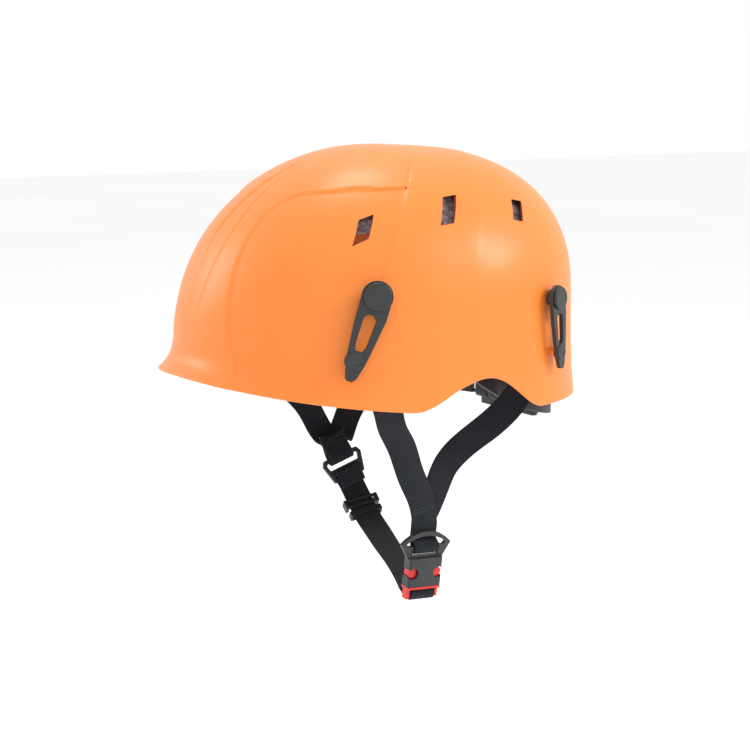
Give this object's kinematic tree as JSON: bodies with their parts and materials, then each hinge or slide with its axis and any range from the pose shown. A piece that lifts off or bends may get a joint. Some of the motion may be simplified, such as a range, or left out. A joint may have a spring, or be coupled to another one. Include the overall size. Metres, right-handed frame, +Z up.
{
  "type": "climbing helmet",
  "caption": "Hard-shell climbing helmet with side vents, lamp clips, foam liner, adjustable headband and a chin strap with a side-release buckle.",
  "frame": {"origin": "middle of the head at headband height, on the vertical axis under the crown", "axes": "+Z up through the crown, -Y the front (brim), +X the wearer's left"},
  "size_m": [0.2206, 0.2733, 0.2872],
  "materials": {
    "shell": "satin gloss, orange ABS",
    "foam": "speckled grey-mauve expanded foam",
    "pad_fabric": "knitted pad cover",
    "webbing": "woven polyester webbing",
    "black_plastic": "moulded, fine grain",
    "clip_plastic": "moulded, satin",
    "grey_plastic": "moulded, satin",
    "red_plastic": "moulded, satin gloss",
    "steel": "zinc plated"
  },
  "bodies": {
    "helmet": {"outer_shell": "shell", "foam_liner": "foam", "crown_pad": "pad_fabric", "clip_rivets": "clip_plastic", "rivet_washers": "clip_plastic", "clip_studs": "shell", "front_left_anchor": "black_plastic", "front_right_anchor": "black_plastic", "rear_left_anchor": "black_plastic", "rear_right_anchor": "black_plastic", "headband_front": "black_plastic", "brow_pad": "pad_fabric", "brow_lug": "black_plastic", "headband_hangers": "black_plastic", "temple_pins": "black_plastic", "left_front_strap": "webbing", "left_rear_strap": "webbing", "right_front_strap": "webbing", "right_rear_strap": "webbing", "buckle_socket": "black_plastic", "chin_strap": "webbing", "right_strap_guide": "black_plastic"},
    "nape_cradle": {"left_arm": "black_plastic", "right_arm": "black_plastic", "adjuster_housing": "black_plastic", "adjuster_cover": "black_plastic", "nape_pad": "pad_fabric"},
    "size_knob": {"adjuster_pinion": "black_plastic", "adjuster_knob": "grey_plastic", "knob_screw": "steel"},
    "left_rack_slider": {"left_rack": "black_plastic"},
    "right_rack_slider": {"right_rack": "black_plastic"},
    "front_left_lever": {"front_left_clip": "clip_plastic"},
    "front_right_lever": {"front_right_clip": "clip_plastic"},
    "rear_left_lever": {"rear_left_clip": "clip_plastic"},
    "rear_right_lever": {"rear_right_clip": "clip_plastic"},
    "plug": {"buckle_plug": "red_plastic"},
    "front_prong_spring": {"front_prong": "red_plastic"},
    "rear_prong_spring": {"rear_prong": "red_plastic"},
    "slide_adjuster": {"strap_slide": "black_plastic"},
    "tail_keeper": {"strap_keeper": "black_plastic"}
  },
  "joints": [
    {"name": "front_left_clip_swing", "type": "hinge", "parent": "helmet", "child": "front_left_lever", "pos_m": [0.09608, -0.05479, 0.0304], "axis": [-0.917, 0.3859, -0.1012], "range_deg": [0, 75]},
    {"name": "front_right_clip_swing", "type": "hinge", "parent": "helmet", "child": "front_right_lever", "pos_m": [-0.09608, -0.05479, 0.0304], "axis": [-0.917, -0.3859, 0.1012], "range_deg": [0, 75]},
    {"name": "rear_left_clip_swing", "type": "hinge", "parent": "helmet", "child": "rear_left_lever", "pos_m": [0.09396, 0.07118, 0.022], "axis": [-0.8976, -0.4399, -0.0295], "range_deg": [0, 75]},
    {"name": "rear_right_clip_swing", "type": "hinge", "parent": "helmet", "child": "rear_right_lever", "pos_m": [-0.09396, 0.07118, 0.022], "axis": [-0.8976, 0.4399, 0.0295], "range_deg": [0, 75]},
    {"name": "nape_tilt", "type": "hinge", "parent": "helmet", "child": "nape_cradle", "pos_m": [0, 0.004, -0.004], "axis": [1, 0, 0], "range_deg": [-4, 4]},
    {"name": "knob_turn", "type": "hinge", "parent": "nape_cradle", "child": "size_knob", "pos_m": [0, 0.11, -0.05], "axis": [0, 1, 0], "range_deg": [-119, 119], "deforming": ["left_arm", "right_arm"]},
    {"name": "left_rack_slide", "type": "slide", "parent": "nape_cradle", "child": "left_rack_slider", "axis": [1, 0, 0], "range_m": [-0.0125, 0.0125], "deforming": ["left_arm"]},
    {"name": "right_rack_slide", "type": "slide", "parent": "nape_cradle", "child": "right_rack_slider", "axis": [-1, 0, 0], "range_m": [-0.0125, 0.0125], "deforming": ["right_arm"]},
    {"name": "buckle_release", "type": "slide", "parent": "helmet", "child": "plug", "axis": [-0.1421, -0.028, -0.9895], "range_m": [0, 0.03], "deforming": ["chin_strap", "front_prong", "rear_prong"]},
    {"name": "front_prong_press", "type": "hinge", "parent": "plug", "child": "front_prong_spring", "pos_m": [0.05062, -0.00237, -0.16135], "axis": [-0.9898, 0, 0.1421], "range_deg": [0, 15], "stiffness_Nm_per_rad": 0.05, "deforming": ["front_prong"]},
    {"name": "rear_prong_press", "type": "hinge", "parent": "plug", "child": "rear_prong_spring", "pos_m": [0.05056, 0.01162, -0.16174], "axis": [0.9898, 0, -0.1421], "range_deg": [0, 15], "stiffness_Nm_per_rad": 0.05, "deforming": ["rear_prong"]},
    {"name": "slide_shift", "type": "slide", "parent": "helmet", "child": "slide_adjuster", "axis": [0.7166, 0.0367, -0.6966], "range_m": [-0.003, 0.0015], "deforming": ["chin_strap"]},
    {"name": "keeper_shift", "type": "slide", "parent": "helmet", "child": "tail_keeper", "axis": [0.7789, 0.0168, -0.6269], "range_m": [-0.001, 0.008], "deforming": ["chin_strap"]}
  ],
  "couplings": [
    {"joint": "left_rack_slide", "follows": "knob_turn", "m_per_rad": 0.006},
    {"joint": "right_rack_slide", "follows": "knob_turn", "m_per_rad": 0.006}
  ]
}
